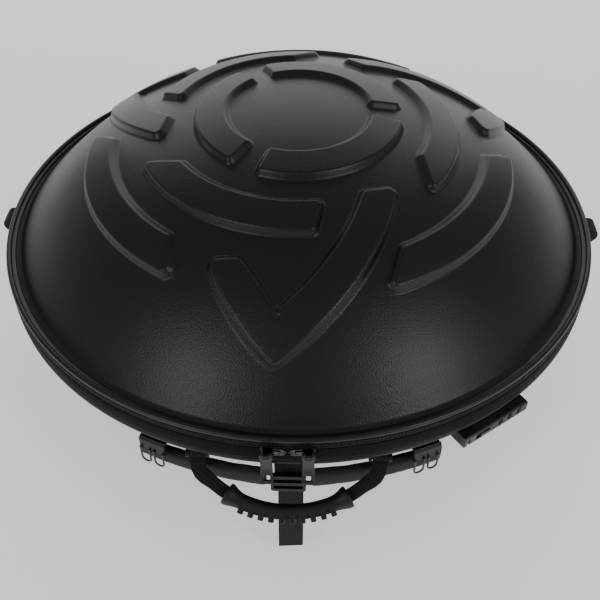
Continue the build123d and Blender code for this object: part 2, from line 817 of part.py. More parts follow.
write("centre_buckle", centre_buckle())
write("centre_tail", centre_tail())
write("lock_body", lock_body().moved(at(lock_turn)))
write("lock_end_cap", lock_cap().moved(at(lock_turn)))
write("lock_axle", lock_axle().moved(at(lock_turn)))
write("lock_button", lock_button().moved(at(lock_turn)))
write("lock_back_plate", lock_plate())
for i in range(dial_count):
    write(f"lock_dial_{i + 1}", lock_dial(i).moved(at(lock_turn)))
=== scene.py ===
import cmath
import math

import bmesh
import bpy
import numpy as np
from mathutils import Matrix, Vector, kdtree
from mathutils.geometry import interpolate_bezier


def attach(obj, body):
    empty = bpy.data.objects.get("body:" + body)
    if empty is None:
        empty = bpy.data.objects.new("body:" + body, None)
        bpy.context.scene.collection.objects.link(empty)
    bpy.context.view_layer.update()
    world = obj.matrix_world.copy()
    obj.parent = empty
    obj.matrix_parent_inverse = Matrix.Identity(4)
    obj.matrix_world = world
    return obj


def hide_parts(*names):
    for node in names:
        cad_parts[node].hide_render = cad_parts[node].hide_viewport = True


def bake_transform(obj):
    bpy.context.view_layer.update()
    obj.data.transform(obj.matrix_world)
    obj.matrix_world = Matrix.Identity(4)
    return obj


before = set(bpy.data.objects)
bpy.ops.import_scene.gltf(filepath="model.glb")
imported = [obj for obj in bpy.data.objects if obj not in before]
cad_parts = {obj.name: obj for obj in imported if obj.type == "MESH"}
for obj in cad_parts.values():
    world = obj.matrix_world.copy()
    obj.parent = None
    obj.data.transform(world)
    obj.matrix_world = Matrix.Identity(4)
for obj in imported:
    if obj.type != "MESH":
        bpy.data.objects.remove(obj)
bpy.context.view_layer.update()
scene = bpy.context.scene

# Camera: stands a little over two thirds of a metre in front of the case and as high above the
# floor, and looks down on the lid, so the lid fills the view and the handle hangs below it.
camera_data = bpy.data.cameras.new("camera")
camera_data.sensor_width = 36.0
camera_data.lens = 49.16
camera_data.clip_start = 0.01
camera = bpy.data.objects.new("camera", camera_data)
camera.location = (0.0210, -0.6851, 0.6909)
camera.rotation_euler = (math.radians(45.48), 0.0, math.radians(1.656))
scene.collection.objects.link(camera)
scene.camera = camera


# Studio: a pale painted floor and soft boxes, with the room around them a dim even white.
def linear(colour):
    """An sRGB hex colour as the linear values that a shader takes."""
    shares = [int(colour[i:i + 2], 16) / 255 for i in (1, 3, 5)]
    return [c / 12.92 if c <= 0.04045 else ((c + 0.055) / 1.055) ** 2.4 for c in shares] + [1.0]


def node(tree, kind, links=None, into=None, **settings):
    """Adds a node with its settings; links an input given a socket, and its output into one."""
    made = tree.nodes.new("ShaderNode" + kind)
    for key, value in settings.items():
        setattr(made, key, value)
    for key, value in (links or {}).items():
        if isinstance(value, bpy.types.NodeSocket):
            tree.links.new(value, made.inputs[key])
        else:
            made.inputs[key].default_value = value
    if into:
        tree.links.new(made.outputs[0], into)
    return made


def new_finish(name, colour, roughness, **sockets):
    """A material with its surface shader set; returns it, its tree, that shader and a place."""
    made = bpy.data.materials.new(name)
    made.use_nodes = True
    shader = made.node_tree.nodes["Principled BSDF"]
    place = node(made.node_tree, "TexCoord").outputs["Object"]
    shader.inputs["Base Color"].default_value = linear(colour)
    shader.inputs["Roughness"].default_value = roughness
    for key, value in sockets.items():
        shader.inputs[key.replace("_", " ")].default_value = value
    return made, made.node_tree, shader, place


# Matt paint, given a faint glow of its own so that it stays pale between the lamps.
floor_paint, tree, shader, where = new_finish("painted_floor", "#F4F4F4", 0.9)
grain = node(tree, "TexNoise", {"Vector": where, "Scale": 60.0})
node(tree, "Bump", {"Height": grain.outputs["Fac"], "Strength": 0.05, "Distance": 0.001},
     into=shader.inputs["Normal"])
shader.inputs["Emission Color"].default_value = linear("#FFFFFF")
shader.inputs["Emission Strength"].default_value = 0.6
floor_half = 12.0
floor_mesh = bpy.data.meshes.new("floor")
bm = bmesh.new()
bmesh.ops.create_grid(bm, x_segments=1, y_segments=1, size=floor_half)
bm.to_mesh(floor_mesh)
bm.free()
floor_mesh.materials.append(floor_paint)
floor = bpy.data.objects.new("floor", floor_mesh)
scene.collection.objects.link(floor)

room = bpy.data.worlds.new("room")
scene.world = room
room.use_nodes = True
room.node_tree.nodes["Background"].inputs["Color"].default_value = linear("#FFFFFF")
room.node_tree.nodes["Background"].inputs["Strength"].default_value = 0.26


def soft_box(name, place, aim, width, height, watts):
    light = bpy.data.lights.new(name, "AREA")
    light.shape = "RECTANGLE"
    light.size = width
    light.size_y = height
    light.energy = watts
    lamp = bpy.data.objects.new(name, light)
    lamp.location = place
    lamp.rotation_euler = (Vector(aim) - Vector(place)).to_track_quat("-Z", "Y").to_euler()
    scene.collection.objects.link(lamp)


soft_box("soft_box_back", (0.0, 2.20, 1.05), (0.0, 0.1, 0.25), 3.8, 1.9, 27.0)
soft_box("soft_box_left", (-1.01, -1.29, 1.15), (-0.08, -0.25, 0.17), 0.6, 0.6, 5.0)
soft_box("soft_box_right", (1.20, -1.10, 1.15), (0.11, -0.24, 0.17), 0.6, 0.6, 6.2)

# Lid shell: one sheet of black ABS, 3 mm thick, vacuum formed into a round dome with a small
# flange. Its pressed pattern of arcs and chevrons stiffens it, with drafted, rounded walls.
edge_r = 0.2865
dome_rise = 0.124
edge_slope = math.radians(44.0)
shell_wall = 0.003
upper_edge = 0.150
flange_r = 0.296
flange_t = 0.0024


def dome_line(lift, count):
    """The dome's section from crown to edge, as radius and height over the edge."""
    out = Vector((math.sin(edge_slope), math.cos(edge_slope), 0.0))
    down = Vector((math.cos(edge_slope), -math.sin(edge_slope), 0.0))
    end = Vector((edge_r, 0.0, 0.0)) + out * lift
    top = Vector((0.0, dome_rise + lift, 0.0))
    crown = top + Vector((0.635 * end.x, 0.0, 0.0))
    line = interpolate_bezier(top, crown, end - down * (0.112 * edge_r), end, 1500)
    r = np.array([p.x for p in line])
    z = np.array([p.y for p in line])
    run = np.concatenate([[0.0], np.cumsum(np.hypot(np.diff(r), np.diff(z)))])
    stops = np.linspace(0.0, run[-1], count)
    return np.interp(stops, run, r), np.interp(stops, run, z)


def spun(outline, start=0.0, sweep=360.0, steps=240, closed=False):
    """Spins an outline of radius and height about the case's axis; start is from the front."""
    bm = bmesh.new()
    points = [bm.verts.new((0.0, -r, z)) for r, z in outline]
    pairs = list(zip(points, points[1:]))
    if closed:
        pairs.append((points[-1], points[0]))
    lines = [bm.edges.new(pair) for pair in pairs]
    first = Matrix.Rotation(math.radians(start), 3, "Z")
    bmesh.ops.rotate(bm, cent=(0, 0, 0), matrix=first, verts=points)
    bmesh.ops.spin(bm, geom=points + lines, cent=(0, 0, 0), axis=(0, 0, 1), steps=steps,
                   angle=math.radians(sweep), use_merge=sweep == 360.0)
    bmesh.ops.remove_doubles(bm, verts=bm.verts, dist=1e-6)
    if sweep < 360.0:
        bmesh.ops.holes_fill(bm, edges=[e for e in bm.edges if e.is_boundary])
    bmesh.ops.recalc_face_normals(bm, faces=bm.faces)
    return bm


def soften(bm, width, segments=2, sharper=35.0):
    """Rounds every edge that is sharper than an angle."""
    sharp = [e for e in bm.edges if e.is_manifold and e.calc_face_angle() > math.radians(sharper)]
    bmesh.ops.bevel(bm, geom=sharp, offset=width, affect="EDGES", segments=segments,
                    profile=0.5, material=-1, clamp_overlap=True)


def join(bm, other):
    """Adds another part's mesh to this one."""
    mesh = bpy.data.meshes.new("joined")
    other.to_mesh(mesh)
    other.free()
    bm.from_mesh(mesh)
    bpy.data.meshes.remove(mesh)


def piece(name, bm, finish, crease=35.0):
    """Makes a finished bmesh an object with its material."""
    mesh = bpy.data.meshes.new(name)
    bm.to_mesh(mesh)
    bm.free()
    mesh.materials.append(finish)
    mesh.shade_smooth()
    mesh.set_sharp_from_angle(angle=math.radians(crease))
    made = bpy.data.objects.new(name, mesh)
    scene.collection.objects.link(made)
    return made


# Pebble-grained ABS: formed against a textured tool, so it has a satin gloss that breaks into
# speckles where a light is mirrored in it. The real grain is 0.8 mm; it is drawn at about 1.1 mm,
# as coarse as it needs to be to show.
grained_abs, tree, shader, where = new_finish("grained_black_abs", "#0B0B0B", 0.36, IOR=1.52)
pebble = node(tree, "TexVoronoi", {"Vector": where, "Scale": 880.0}, feature="SMOOTH_F1")
fleck = node(tree, "TexNoise", {"Vector": where, "Scale": 1000.0, "Detail": 3.0})
grain = node(tree, "Math", {0: pebble.outputs["Distance"], 1: fleck.outputs["Fac"]},
             operation="ADD")
node(tree, "Bump", {"Height": grain.outputs[0], "Strength": 0.7, "Distance": 0.00019},
     into=shader.inputs["Normal"])
wear = node(tree, "TexNoise", {"Vector": where, "Scale": 9.0, "Detail": 4.0})
node(tree, "MapRange", {"Value": wear.outputs["Fac"], "To Min": 0.33, "To Max": 0.42},
     into=shader.inputs["Roughness"])

pattern_unit = 0.300
pattern_turn = 1.4
pattern_height = 0.006
wall_foot = -0.0022
wall_head = 0.0042
wall_margin = 0.0045
outline_step = 0.001


def polar(share, turn):
    return cmath.rect(share * pattern_unit, math.radians(turn + pattern_turn))


def arc(start, middle, end):
    """Points a step apart on the arc through three points, without its end."""
    ratio = (end - start) / (middle - start)
    centre = start - (start - middle) * (ratio - abs(ratio) ** 2) / (2j * ratio.imag)
    sweep = cmath.phase((end - centre) / (start - centre))
    count = max(2, round(abs(sweep) * abs(start - centre) / outline_step))
    return [centre + (start - centre) * cmath.exp(1j * sweep * i / count) for i in range(count)]


def straight(start, end):
    count = max(2, round(abs(end - start) / outline_step))
    return [start + (end - start) * i / count for i in range(count)]


def arc_band(r0, r1, a0, a1, b0, b1):
    inner = arc(polar(r0, a0), polar(r0, (a0 + a1) / 2), polar(r0, a1))
    outer = arc(polar(r1, b1), polar(r1, (b0 + b1) / 2), polar(r1, b0))
    return inner + straight(polar(r0, a1), polar(r1, b1)) + outer + straight(
        polar(r1, b0), polar(r0, a0))


tip = polar(0.842, -94.4)
crook = polar(0.704, -94.5)
short_in = polar(0.588, -105.3)
short_out = polar(0.617, -115.0)
long_in = polar(0.405, -63.6)
long_out = polar(0.441, -48.1)
chevron = arc(tip, polar(0.653, -74.2), long_out) + straight(long_out, long_in)
chevron += arc(long_in, polar(0.550, -79.3), crook) + straight(crook, short_in)
chevron += straight(short_in, short_out) + arc(short_out, polar(0.740, -104.6), tip)
pattern = [
    (arc_band(0.224, 0.333, -113.0, -7.0, -113.0, -7.0), 0.0055),
    (arc_band(0.407, 0.517, -147.5, -78.5, -161.0, -84.0), 0.0065),
    (arc_band(0.592, 0.700, -61.0, -7.2, -70.0, 0.0), 0.0065),
    (chevron, 0.0075),
]


def depth_inside(spots, outline, corner):
    """How far each spot lies inside an outline whose corners are rounded; negative outside."""
    ring_points = np.array(outline)
    following = np.roll(ring_points, -1)
    inside = np.zeros(len(spots), bool)
    for a, b in zip(ring_points, following):
        crosses = (a.imag > spots.imag) != (b.imag > spots.imag)
        reach = a.real + (spots.imag - a.imag) * (b.real - a.real) / ((b.imag - a.imag) or 1e-12)
        inside ^= crosses & (spots.real < reach)
    edge_tree = kdtree.KDTree(len(ring_points))
    for i, p in enumerate(ring_points):
        edge_tree.insert((p.real, p.imag, 0.0), i)
    edge_tree.balance()
    area = 0.5 * np.sum(ring_points.real * following.imag - following.real * ring_points.imag)
    heading = (following - ring_points) / np.abs(following - ring_points)
    inner = ring_points + heading * (1j if area > 0 else -1j) * corner
    kept = [p for p in inner if edge_tree.find((p.real, p.imag, 0.0))[2] > corner - 0.00012]
    core_tree = kdtree.KDTree(len(kept))
    for i, p in enumerate(kept):
        core_tree.insert((p.real, p.imag, 0.0), i)
    core_tree.balance()
    depth = np.full(len(spots), -1.0)
    beyond = 0.012
    near = spots.real > ring_points.real.min() - beyond
    near &= spots.real < ring_points.real.max() + beyond
    near &= spots.imag > ring_points.imag.min() - beyond
    near &= spots.imag < ring_points.imag.max() + beyond
    for i in np.nonzero(near)[0]:
        spot = (spots[i].real, spots[i].imag, 0.0)
        edge = edge_tree.find(spot)[2]
        if inside[i] and edge > corner:
            depth[i] = edge
        else:
            depth[i] = corner - core_tree.find(spot)[2]
    return depth


def pattern_depth(spots):
    """Depth inside the nearest of the pattern's shapes, which repeat three times round."""
    depth = np.full(len(spots), -1.0)
    for turn in range(3):
        turned = spots * cmath.exp(-2j * math.pi * turn / 3)
        for outline, corner in pattern:
            depth = np.maximum(depth, depth_inside(turned, outline, corner))
    return depth


outer_r, outer_z = dome_line(0.0, 112)
inner_r, inner_z = dome_line(-shell_wall, 40)
outline = [(r, upper_edge + z) for r, z in zip(outer_r, outer_z)]
outline += [(flange_r, upper_edge), (flange_r, upper_edge - flange_t)]
outline += [(inner_r[-1], upper_edge - flange_t)]
outline += [(r, upper_edge + z) for r, z in zip(inner_r[::-1], inner_z[::-1])]
bm = spun(outline)
fine_r, fine_z = dome_line(0.0, 1500)


def on_dome(bm):
    """The shell's outer vertices, and their places in plan."""
    found = []
    for v in bm.verts:
        r = math.hypot(v.co.x, v.co.y)
        if r < edge_r - 0.004 and abs(v.co.z - upper_edge - np.interp(r, fine_r, fine_z)) < 4e-4:
            found.append(v)
    return found, np.array([complex(v.co.x, v.co.y) for v in found])


verts, spots = on_dome(bm)
depth = pattern_depth(spots)
close = {v for v, d in zip(verts, depth) if wall_foot - wall_margin < d < wall_head + wall_margin}
wall_edges = [e for e in bm.edges if e.verts[0] in close and e.verts[1] in close]
bmesh.ops.subdivide_edges(bm, edges=wall_edges, cuts=2, use_grid_fill=True)
verts, spots = on_dome(bm)
rise = np.clip((pattern_depth(spots) - wall_foot) / (wall_head - wall_foot), 0.0, 1.0)
rise = pattern_height * rise * rise * (3.0 - 2.0 * rise)
reach = np.abs(spots)
slope = np.interp(reach, fine_r, np.gradient(fine_z, fine_r))
height = np.interp(reach, fine_r, fine_z)
for v, lift, r, tilt, z in zip(verts, rise, reach, slope, height):
    along = 1.0 / math.hypot(1.0, tilt)
    spread = 1.0 - lift * tilt * along / max(r, 1e-6)
    v.co = (v.co.x * spread, v.co.y * spread, upper_edge + z + lift * along)
lid_shell = piece("lid_shell", bm, grained_abs, crease=60.0)
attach(lid_shell, "lid")
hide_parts("upper_shell")

# Base shell: the same grained ABS dome turned over, its bottom pressed flat, and its edge rolled
# out into a smooth glossy lip that the zip's tape is sewn against.
lower_edge = 0.118
band_z = 0.126
floor_z = 0.008
lip_r = 0.2995


def under_shell(r, lift):
    """Height of the base shell's outer face at a radius, lifted off it."""
    line_r, line_z = dome_line(lift, 400)
    return np.maximum(lower_edge - np.interp(r, line_r, line_z), floor_z - lift)


outer_r, outer_z = dome_line(0.0, 120)
inner_r, inner_z = dome_line(-shell_wall, 60)
flat = outer_z > lower_edge - floor_z
outline = [(0.0, floor_z)]
outline += [(r, lower_edge - z) for r, z in zip(outer_r[~flat], outer_z[~flat])]
outline += [(0.2975, 0.1202), (0.2991, 0.1212), (lip_r, 0.1224), (0.2993, 0.1240), (0.2984, 0.1249)]
outline += [(0.2962, 0.1250), (0.2962, 0.1370), (0.2938, 0.1370), (0.2938, 0.1250)]
outline += [(0.2843, 0.1195)]
flat = inner_z > lower_edge - floor_z - shell_wall
outline += [(r, lower_edge - z) for r, z in zip(inner_r[~flat][::-1], inner_z[~flat][::-1])]
outline += [(0.0, floor_z + shell_wall)]
base_shell = piece("base_shell", spun(outline), grained_abs, crease=50.0)
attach(base_shell, "base")
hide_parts("lower_shell")

# Zip tapes: woven black polyester, one sewn round each shell. Both meet at the zip's seam, and
# each has a row of lock stitches along its outer edge.
seam_z = 0.1425
tape_r = 0.2998
tape_t = 0.0016
stitch_pitch = 0.0034
stitch_r = 0.0005

woven_tape, tree, shader, where = new_finish(
    "woven_black_polyester", "#0D0D0E", 0.8,
    Specular_IOR_Level=0.15, Sheen_Weight=0.03, Sheen_Roughness=0.4)
place = node(tree, "SeparateXYZ", {"Vector": where})
turn = node(tree, "Math", {0: place.outputs["Y"], 1: place.outputs["X"]}, operation="ARCTAN2")
round_way = node(tree, "Math", {0: turn.outputs[0], 1: tape_r}, operation="MULTIPLY")
flat_place = node(tree, "CombineXYZ", {"X": round_way.outputs[0], "Y": place.outputs["Z"]})
# Warp ribs run round the tape about 0.9 mm apart; weft threads cross them about 1.1 mm apart.
warp = node(tree, "TexWave", {"Vector": flat_place.outputs[0], "Scale": 175.0},
            bands_direction="Y", wave_profile="SIN")
weft = node(tree, "TexWave", {"Vector": flat_place.outputs[0], "Scale": 143.0},
            bands_direction="X", wave_profile="SIN")
weave = node(tree, "Math", {0: warp.outputs["Fac"], 1: weft.outputs["Fac"]}, operation="MULTIPLY")
node(tree, "Bump", {"Height": weave.outputs[0], "Strength": 0.5, "Distance": 0.0002},
     into=shader.inputs["Normal"])
dust = node(tree, "TexNoise", {"Vector": where, "Scale": 300.0, "Detail": 4.0})
shade = node(tree, "ValToRGB", {"Fac": dust.outputs["Fac"]}, into=shader.inputs["Base Color"])
shade.color_ramp.elements[0].color = linear("#08080A")
shade.color_ramp.elements[1].color = linear("#1B1B1C")

# Bonded thread: a faint satin line along the tape.
thread, tree, shader, where = new_finish("bonded_nylon_thread", "#1A1A1B", 0.5)
ply = node(tree, "TexNoise", {"Vector": where, "Scale": 2500.0})
node(tree, "Bump", {"Height": ply.outputs["Fac"], "Strength": 0.4, "Distance": 0.0001},
     into=shader.inputs["Normal"])


def stitches(name, r, z, finish, start=0.0, sweep=360.0):
    """A row of short raised stitches round the case at a radius and height."""
    bm = bmesh.new()
    made = bmesh.ops.create_icosphere(bm, subdivisions=1, radius=stitch_r)["verts"]
    bmesh.ops.scale(bm, vec=(2.5, 0.7, 1.0), verts=made)
    bmesh.ops.rotate(bm, cent=(0, 0, 0), matrix=Matrix.Rotation(0.12, 3, "Y"), verts=made)
    bmesh.ops.translate(bm, vec=(0.0, -r, z), verts=made)
    count = round(math.radians(sweep) * r / stitch_pitch)
    bmesh.ops.rotate(bm, cent=(0, 0, 0), matrix=Matrix.Rotation(math.radians(start), 3, "Z"),
                     verts=made)
    if sweep == 360.0:
        count -= 1
    bmesh.ops.spin(bm, geom=bm.verts[:] + bm.edges[:] + bm.faces[:], cent=(0, 0, 0),
                   axis=(0, 0, 1), steps=count, use_duplicate=True,
                   angle=math.radians(sweep) * (count / (count + 1) if sweep == 360.0 else 1.0))
    return piece(name, bm, finish)


def tape_outline(z0, z1, bulge):
    inner = tape_r - tape_t
    return [(inner, z0), (tape_r - 0.0004, z0), (tape_r, z0 + 0.0006),
            (tape_r + bulge, (z0 + z1) / 2), (tape_r, z1 - 0.0006), (tape_r - 0.0004, z1),
            (inner, z1)]


for name, z0, z1, row, body in (
    ("base_tape", band_z, seam_z - 0.0005, band_z + 0.0030, "base"),
    ("lid_tape", seam_z + 0.0005, 0.1503, 0.1483, "lid"),
):
    tape = piece(name, spun(tape_outline(z0, z1, 0.0001), closed=True), woven_tape)
    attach(tape, body)
    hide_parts("lower_zip_tape" if body == "base" else "upper_zip_tape")
    row_piece = stitches(name + "_stitches", tape_r + 0.0001, row, thread)
    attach(row_piece, body)

# Zip coil: a row of moulded nylon teeth along each tape's seam edge. The two rows mesh when
# shut, and show as a fine black line between the tapes.
tooth_pitch = 0.0016
tooth_size = (0.0008, 0.0018, 0.0030)
coil_r = 0.2972
# Drawn nylon: small soft glints along the teeth.
coil_nylon, tree, shader, where = new_finish("moulded_black_nylon", "#101011", 0.38)
drawn = node(tree, "TexNoise", {"Vector": where, "Scale": 1200.0})
node(tree, "Bump", {"Height": drawn.outputs["Fac"], "Strength": 0.2, "Distance": 0.0001},
     into=shader.inputs["Normal"])
for name, side, body, part in (
    ("base_zip_teeth", -1, "base", "lower_zip_coil"),
    ("lid_zip_teeth", 1, "lid", "upper_zip_coil"),
):
    bm = bmesh.new()
    made = bmesh.ops.create_cube(bm, size=1.0)["verts"]
    bmesh.ops.scale(bm, vec=tooth_size, verts=made)
    bmesh.ops.bevel(bm, geom=[e for e in bm.edges if abs(e.verts[0].co.z - e.verts[1].co.z) < 1e-6
                              and e.verts[0].co.z * side < 0],
                    offset=0.0003, affect="EDGES", segments=1, profile=0.5, material=-1)
    bmesh.ops.translate(bm, vec=(0.0, -coil_r, seam_z + side * 0.0013), verts=bm.verts)
    count = round(2 * math.pi * coil_r / tooth_pitch)
    bmesh.ops.rotate(bm, cent=(0, 0, 0), verts=bm.verts,
                     matrix=Matrix.Rotation(math.pi / count * (side > 0), 3, "Z"))
    bmesh.ops.spin(bm, geom=bm.verts[:] + bm.edges[:] + bm.faces[:], cent=(0, 0, 0),
                   axis=(0, 0, 1), steps=count - 1, use_duplicate=True,
                   angle=2 * math.pi * (count - 1) / count)
    teeth = piece(name, bm, coil_nylon)
    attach(teeth, body)
    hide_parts(part)

# Piping: a cord core in a coated cloth cover, sewn along the top of the lid's tape, with the
# cover's flap laid on the shell's flange. It leaves a narrow groove beside the dome.
bead_r = 0.0027
bead_centre = (0.2973, 0.1517)
# The coating gives the cloth one soft line of light along the bead.
piping_cover, tree, shader, where = new_finish("coated_black_cloth", "#0A0A0A", 0.42,
                                               Coat_Weight=0.15)
cloth_grain = node(tree, "TexNoise", {"Vector": where, "Scale": 1100.0, "Detail": 2.0})
node(tree, "Bump", {"Height": cloth_grain.outputs["Fac"], "Strength": 0.45, "Distance": 0.0002},
     into=shader.inputs["Normal"])
bead_sides = 18
bead_flat_z = 0.15045
outline = []
for i in range(bead_sides):
    turn = 2 * math.pi * i / bead_sides
    z = bead_centre[1] + bead_r * math.sin(turn)
    outline.append((bead_centre[0] + bead_r * math.cos(turn), max(z, bead_flat_z)))
bm = spun(outline, closed=True)
flap = [(0.2910, 0.1503), (0.2962, 0.1503), (0.2962, 0.1512), (0.2914, 0.1512), (0.2910, 0.1508)]
join(bm, spun(flap, closed=True))
piping = piece("piping", bm, piping_cover, crease=50.0)
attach(piping, "lid")
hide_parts("upper_binding")
backing = [(0.2964, 0.1252), (0.2980, 0.1252), (0.2980, 0.1360), (0.2964, 0.1360)]
inner_tape = piece("base_inner_binding", spun(backing, closed=True), piping_cover)
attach(inner_tape, "base")
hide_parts("lower_binding")

# Soft hinge: a strip of the tape's cloth sewn over the seam at the back, in place of the zip
# there. The real one folds as the lid opens; this one is drawn as a fixed strip.
hinge_r = 0.3009
hinge_half = 22.0
hinge_heights = (0.1296, 0.1350, 0.1390, 0.1410, 0.1425, 0.1440, 0.1460, 0.1508)
bm = spun([(hinge_r, z) for z in hinge_heights], start=180.0 - hinge_half,
          sweep=2 * hinge_half, steps=60)
cap_faces = [f for f in bm.faces if len(f.verts) > 4]
bmesh.ops.delete(bm, geom=cap_faces, context="FACES_ONLY")
hinge = piece("soft_hinge", bm, woven_tape, crease=80.0)
thick = hinge.modifiers.new("cloth_thickness", "SOLIDIFY")
thick.thickness = 0.0009
thick.offset = 0.0
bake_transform(hinge)
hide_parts("rear_hinge_lower", "rear_hinge_upper")

# Zip sliders: two die-cast zinc sliders in glossy black enamel that meet nose to nose at the
# front. Each has a back plate behind the coil, a web through the seam and a lug for its pull.
band_r = 0.300
# Stoved enamel: sharp glints on a slight orange peel.
enamel, tree, shader, where = new_finish("black_enamelled_zinc", "#0A0A0B", 0.2, Coat_Weight=0.5)
flow = node(tree, "TexNoise", {"Vector": where, "Scale": 420.0, "Detail": 2.0})
node(tree, "Bump", {"Height": flow.outputs["Fac"], "Strength": 0.12, "Distance": 0.0003},
     into=shader.inputs["Normal"])
node(tree, "MapRange", {"Value": flow.outputs["Fac"], "To Min": 0.14, "To Max": 0.3},
     into=shader.inputs["Roughness"])

# Tumbled zinc under black nickel: a dark, even satin.
satin_metal, tree, shader, where = new_finish("satin_gunmetal_zinc", "#505153", 0.38, Metallic=1.0)
tumbled = node(tree, "TexNoise", {"Vector": where, "Scale": 700.0, "Detail": 4.0})
node(tree, "Bump", {"Height": tumbled.outputs["Fac"], "Strength": 0.2, "Distance": 0.0002},
     into=shader.inputs["Normal"])
node(tree, "MapRange", {"Value": tumbled.outputs["Fac"], "To Min": 0.3, "To Max": 0.5},
     into=shader.inputs["Roughness"])


def dress(finish, *names):
    """Gives carried-over pieces their finish."""
    for name in names:
        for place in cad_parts[name].material_slots:
            place.material = finish


def pin(radius, length, centre, segments=20):
    """A round bar along X with eased ends."""
    bm = bmesh.new()
    bmesh.ops.create_cone(bm, cap_ends=True, segments=segments, radius1=radius, radius2=radius,
                          depth=length)
    soften(bm, radius * 0.3, sharper=60.0)
    bmesh.ops.rotate(bm, cent=(0, 0, 0), matrix=Matrix.Rotation(math.pi / 2, 3, "Y"),
                     verts=bm.verts)
    bmesh.ops.translate(bm, vec=centre, verts=bm.verts)
    return bm


def plate(outline, y0, y1, width=0.0004):
    """A flat plate from an outline in X and Z, between two places along Y, its edges eased."""
    bm = bmesh.new()
    face = bm.faces.new([bm.verts.new((x, y0, z)) for x, z in outline])
    bmesh.ops.solidify(bm, geom=[face], thickness=abs(y1 - y0))
    low = min(v.co.y for v in bm.verts)
    bmesh.ops.translate(bm, vec=(0, min(y0, y1) - low, 0), verts=bm.verts)
    bmesh.ops.recalc_face_normals(bm, faces=bm.faces)
    soften(bm, width, sharper=20.0)
    return bm


# Both outlines are in millimetres: the nose round the band, and the lug straight out from it.
nose = [(0.7, 0.0), (2.4, 3.0), (5.2, 4.4), (8.2, 4.0), (10.4, 4.9), (14.0, 6.4), (18.4, 6.5),
        (21.6, 5.2), (22.5, 3.2), (21.4, 1.6), (21.4, -1.6), (22.5, -3.2), (21.6, -5.2),
        (18.4, -6.5), (14.0, -6.4), (10.4, -4.9), (8.2, -4.0), (5.2, -4.4), (2.4, -3.0)]
lug = [(2.4, 0.4), (2.4, 6.6), (8.0, 6.6), (9.9, 6.6), (11.3, 6.0), (12.1, 4.9), (12.1, 3.3),
       (11.2, 2.0), (9.6, 1.4), (6.0, 1.2)]
pull_x = 0.017
pin_y = -0.3096
back_x = (0.0016, 0.0206)
back_half = 0.0046
web_end = 0.0076
web_half = 0.0003
for side, name, body, part in (
    (-1, "left_slider_front", "left_slider", "left_zip_slider"),
    (1, "right_slider_front", "right_slider", "right_zip_slider"),
):
    bm = plate([(x / 1000, seam_z + z / 1000) for x, z in nose], -0.3008, -0.3030, 0.0005)
    ring_rib = [(x / 1000 * 0.62 + 0.0048, seam_z + z / 1000 * 0.58) for x, z in nose]
    join(bm, plate(ring_rib, -0.3025, -0.3038, 0.0005))
    # The back plate and the web stay behind the seam, and show only when the lid is open.
    join(bm, plate([(back_x[0], seam_z - back_half), (back_x[1], seam_z - back_half),
                    (back_x[1], seam_z + back_half), (back_x[0], seam_z + back_half)],
                   -0.2934, -0.2954, 0.0006))
    join(bm, plate([(back_x[0], seam_z - web_half), (web_end, seam_z - web_half),
                    (web_end, seam_z + web_half), (back_x[0], seam_z + web_half)],
                   -0.2950, -0.3013, 0.00005))
    for v in bm.verts:
        turn = v.co.x / band_r
        v.co = (-v.co.y * math.sin(turn), v.co.y * math.cos(turn), v.co.z)
    lug_bm = plate([(out / 1000, seam_z + z / 1000) for out, z in lug], -0.0019, 0.0019, 0.0005)
    bmesh.ops.rotate(lug_bm, cent=(0, 0, 0), verts=lug_bm.verts,
                     matrix=Matrix.Rotation(-math.pi / 2, 3, "Z"))
    bmesh.ops.translate(lug_bm, vec=(pull_x, -band_r, 0.0), verts=lug_bm.verts)
    join(bm, lug_bm)
    join(bm, pin(0.0015, 0.0104, (pull_x, pin_y, seam_z + 0.004)))
    bmesh.ops.scale(bm, vec=(side, 1, 1), verts=bm.verts)
    bmesh.ops.recalc_face_normals(bm, faces=bm.faces)
    slider = piece(name, bm, enamel)
    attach(slider, body)
    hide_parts(part)

# Zip pulls: flat satin zinc tabs, 41 mm long, with an eye round the slider's pin and a slot near
# the foot for the lock's hook or a finger cord.
pull_half_w = 0.0056
pull_half_h = 0.0178
pull_middle_z = 0.1263
pull_t = 0.0024
slot_z = 0.1170
knuckle_x = 0.00385


def rounded_loop(bm, half_w, half_h, corner, z, narrowing=0.0):
    """A rounded rectangle of edges in X and Z round a height."""
    made = bmesh.ops.create_circle(bm, segments=32, radius=corner)["verts"]
    for v in made:
        turn = math.atan2(v.co.y, v.co.x) + math.pi / 32
        x, up = corner * math.cos(turn), corner * math.sin(turn)
        x += math.copysign(half_w - corner, x)
        up += math.copysign(half_h - corner, up)
        v.co = (x * (1.0 - narrowing * (up + half_h) / (2 * half_h)), 0.0, z + up)
    return list({e for v in made for e in v.link_edges})


for side, name, body, part in (
    (-1, "left_pull", "left_pull", "left_pull_tab"),
    (1, "right_pull", "right_pull", "right_pull_tab"),
):
    bm = bmesh.new()
    rims = rounded_loop(bm, pull_half_w, pull_half_h, 0.0026, pull_middle_z, narrowing=0.16)
    rims += rounded_loop(bm, 0.0027, 0.0044, 0.0016, slot_z)
    bridged = bmesh.ops.bridge_loops(bm, edges=rims)["faces"]
    bmesh.ops.solidify(bm, geom=bridged, thickness=pull_t)
    middle = (min(v.co.y for v in bm.verts) + max(v.co.y for v in bm.verts)) / 2
    bmesh.ops.translate(bm, vec=(side * pull_x, pin_y - middle, 0), verts=bm.verts)
    bmesh.ops.recalc_face_normals(bm, faces=bm.faces)
    soften(bm, 0.0005)
    for x in (-knuckle_x, knuckle_x):
        join(bm, pin(0.0029, 0.0032, (side * pull_x + x, pin_y, seam_z + 0.004), segments=24))
    bmesh.ops.recalc_face_normals(bm, faces=bm.faces)
    tab = piece(name + "_plate", bm, satin_metal)
    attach(tab, body)
    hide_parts(part)

